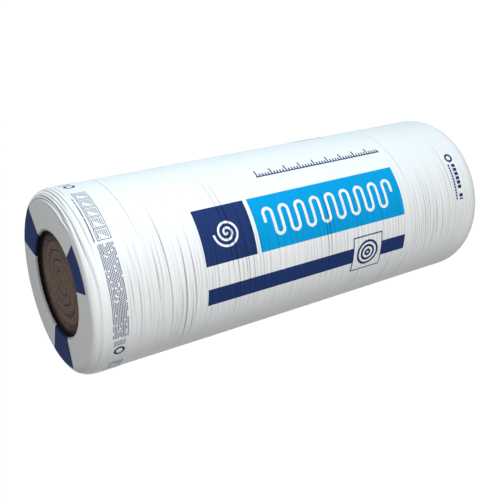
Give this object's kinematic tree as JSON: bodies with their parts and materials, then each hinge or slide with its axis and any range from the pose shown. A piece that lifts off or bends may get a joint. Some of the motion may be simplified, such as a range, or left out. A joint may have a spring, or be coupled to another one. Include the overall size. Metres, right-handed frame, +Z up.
{
  "type": "insulation roll",
  "caption": "Roll of mineral wool insulation in a white film wrap, standing on one end, with a round opening at each end that shows the wound wool.",
  "frame": {"origin": "on the floor at the standing roll's axis", "axes": "+Z up along the roll's axis, towards the end that the picture shows, -Y out of the printed side"},
  "size_m": [0.4499, 0.45, 1.2],
  "materials": {
    "wool": "matt brown glass wool, compressed",
    "film": "white polyethylene film with a soft gloss and printed navy and sky-blue blocks"
  },
  "bodies": {
    "root": {"wool_roll": "wool", "film_wrap": "film"}
  },
  "joints": []
}
